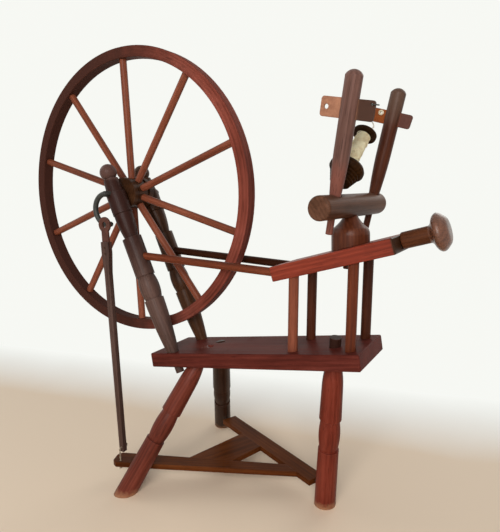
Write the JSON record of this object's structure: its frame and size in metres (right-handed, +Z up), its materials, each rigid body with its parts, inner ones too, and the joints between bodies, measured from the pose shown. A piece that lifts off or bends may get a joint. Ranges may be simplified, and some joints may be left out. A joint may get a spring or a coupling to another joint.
{
  "type": "spinning wheel",
  "caption": "Small wooden treadle spinning wheel with a sloping bench, a spoked drive wheel on turned uprights, a footman and treadle, and a screw-tensioned mother-of-all with leather bearings.",
  "frame": {"origin": "on the floor, at the middle of the part's outline seen from above", "axes": "+X along the bench towards the flyer end, +Y to the back, +Z up"},
  "size_m": [0.7952, 0.3271, 0.7588],
  "materials": {
    "red_wood": "stained and varnished, satin",
    "brown_wood": "stained and varnished, satin",
    "dark_wood": "stained, satin",
    "iron": "blackened",
    "eyelet": "dull",
    "leather": "worn",
    "tan_leather": "worn",
    "wool": "spun wool",
    "cord": "twisted cord"
  },
  "bodies": {
    "frame": {"bench": "red_wood", "leg_back": "red_wood", "leg_front": "red_wood", "leg_right": "red_wood", "post_back_left": "red_wood", "post_back_right": "red_wood", "post_front_left": "red_wood", "post_front_right": "red_wood", "tension_board": "red_wood", "tie_rod_back": "red_wood", "tie_rod_front": "red_wood", "upright_back": "brown_wood", "upright_front": "brown_wood"},
    "wheel": {"wheel_rim": "brown_wood", "wheel_hub": "brown_wood", "spoke_01": "red_wood", "spoke_02": "red_wood", "spoke_03": "red_wood", "spoke_04": "red_wood", "spoke_05": "red_wood", "spoke_06": "red_wood", "spoke_07": "red_wood", "spoke_08": "red_wood", "spoke_09": "red_wood", "spoke_10": "red_wood", "axle_crank": "iron"},
    "treadle": {"treadle_bar": "brown_wood", "treadle_lever": "brown_wood", "treadle_footboard": "brown_wood", "treadle_pin_right": "iron", "treadle_pin_back": "iron"},
    "footman": {"footman_bar": "brown_wood", "footman_eye": "leather", "footman_pins": "brown_wood", "footman_thong": "cord"},
    "tension_screw": {"tension_screw": "brown_wood", "tension_knob": "brown_wood"},
    "mother_of_all": {"moa_bar": "brown_wood", "moa_collar": "brown_wood", "bobbin_cord": "cord"},
    "front_maiden": {"maiden_front": "brown_wood", "leather_front": "leather", "leather_ring": "iron"},
    "back_maiden": {"maiden_back": "brown_wood", "leather_back": "tan_leather", "eyelet": "eyelet"},
    "bobbin": {"bobbin": "dark_wood", "yarn_core": "wool", "yarn_winding": "wool"}
  },
  "joints": [
    {"name": "wheel_spin", "type": "hinge", "parent": "frame", "child": "wheel", "pos_m": [-0.14764, -0.0308, 0.5088], "axis": [0, 1, 0], "continuous": true},
    {"name": "treadle_rock", "type": "hinge", "parent": "frame", "child": "treadle", "pos_m": [0.21725, -0.01633, 0.032], "axis": [-0.9024, 0.431, 0], "range_deg": [0, 25], "deforming": ["footman_thong"]},
    {"name": "footman_swing", "type": "hinge", "parent": "treadle", "child": "footman", "pos_m": [-0.13224, -0.1119, 0.04425], "axis": [-0.9024, 0.431, 0], "range_deg": [-30.5, 0], "deforming": ["footman_thong"]},
    {"name": "screw_turn", "type": "hinge", "parent": "frame", "child": "tension_screw", "pos_m": [0.33393, -0.0308, 0.4347], "axis": [0.9659, 0, 0.2588], "range_deg": [-905, 905]},
    {"name": "mother_of_all_slide", "type": "slide", "parent": "frame", "child": "mother_of_all", "axis": [0.9659, 0, 0.2588], "range_m": [-0.015, 0.015]},
    {"name": "front_maiden_turn", "type": "hinge", "parent": "mother_of_all", "child": "front_maiden", "pos_m": [0.25706, -0.08455, 0.4827], "axis": [0.2041, -0.0965, 0.9742], "range_deg": [-45, 45]},
    {"name": "back_maiden_turn", "type": "hinge", "parent": "mother_of_all", "child": "back_maiden", "pos_m": [0.26942, 0.04385, 0.4827], "axis": [0.2188, 0.0558, 0.9742], "range_deg": [-30, 30], "deforming": ["bobbin_cord"]},
    {"name": "bobbin_spin", "type": "hinge", "parent": "mother_of_all", "child": "bobbin", "pos_m": [0.26351, -0.0518, 0.53197], "axis": [0.1941, 0.6184, 0.7615], "continuous": true}
  ],
  "couplings": [
    {"joint": "footman_swing", "follows": "treadle_rock", "ratio": -1.21},
    {"joint": "screw_turn", "follows": "mother_of_all_slide", "rad_per_m": -1047.2}
  ]
}
